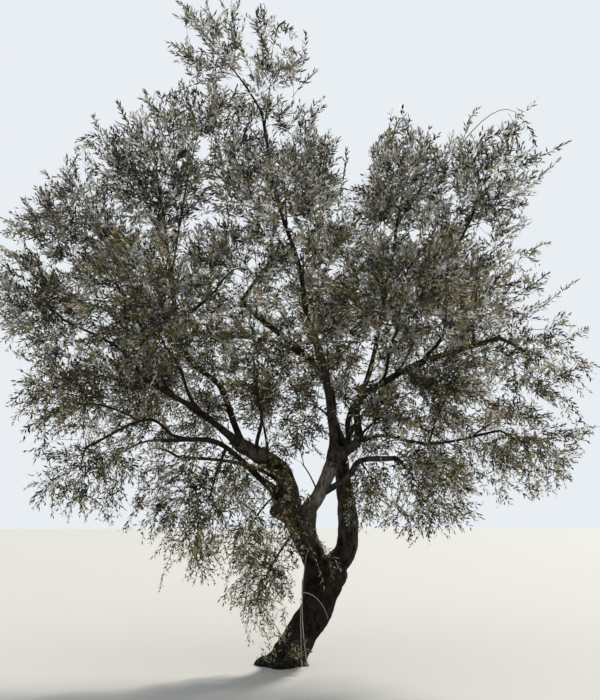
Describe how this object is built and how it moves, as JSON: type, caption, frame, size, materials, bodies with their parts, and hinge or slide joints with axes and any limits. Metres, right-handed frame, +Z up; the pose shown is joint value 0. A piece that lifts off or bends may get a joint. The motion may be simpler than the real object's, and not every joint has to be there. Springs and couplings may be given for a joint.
{
  "type": "olive tree",
  "caption": "Old garden olive tree with a leaning low-forked trunk, spreading boughs and an open rounded crown of narrow silvery leaves.",
  "frame": {"origin": "middle of the flat cut under the trunk, on level ground", "axes": "+Z up, -Y the front, +X the side that the trunk leans to"},
  "size_m": [6.4225, 4.5342, 7.6634],
  "materials": {
    "bark": "rough furrowed dark grey-brown bark",
    "grey_bark": "smoother pale grey bark",
    "foliage": "matt grey-green leaves with silvery undersides"
  },
  "bodies": {
    "root": {"trunk": "bark", "back_centre_bough": "bark", "back_left_bough": "bark", "back_low_left_bough": "bark", "back_right_bough": "bark", "centre_bough": "bark", "centre_front_bough": "bark", "centre_rise": "bark", "leader": "bark", "leader_foot": "bark", "left_bough": "bark", "left_far": "bark", "left_front_bough": "bark", "left_reach": "bark", "left_rise": "bark", "left_stem": "bark", "left_tip_bough": "bark", "left_under": "bark", "left_upper_bough": "bark", "middle_stem": "grey_bark", "rear_bough": "bark", "right_bough": "bark", "right_fork": "bark", "right_front_bough": "bark", "right_level": "bark", "right_low_bough": "bark", "right_stem": "bark", "right_top_bough": "bark", "right_upper_bough": "bark", "back_centre_foliage": "foliage", "back_left_foliage": "foliage", "back_low_left_foliage": "foliage", "back_low_right_foliage": "foliage", "back_right_foliage": "foliage", "back_top_foliage": "foliage", "centre_foliage": "foliage", "centre_front_foliage": "foliage", "foot_shoots_foliage": "foliage", "leader_left_foliage": "foliage", "leader_right_foliage": "foliage", "left_front_foliage": "foliage", "left_hang_foliage": "foliage", "left_lower_foliage": "foliage", "left_mid_foliage": "foliage", "left_shoulder_foliage": "foliage", "left_tip_foliage": "foliage", "left_upper_foliage": "foliage", "low_left_foliage": "foliage", "notch_foliage": "foliage", "right_front_foliage": "foliage", "right_hang_foliage": "foliage", "right_low_foliage": "foliage", "right_mid_foliage": "foliage", "right_shoulder_foliage": "foliage", "right_tip_foliage": "foliage", "right_top_foliage": "foliage", "right_upper_foliage": "foliage", "top_left_foliage": "foliage", "top_right_foliage": "foliage", "trunk_hang_foliage": "foliage"}
  },
  "joints": []
}
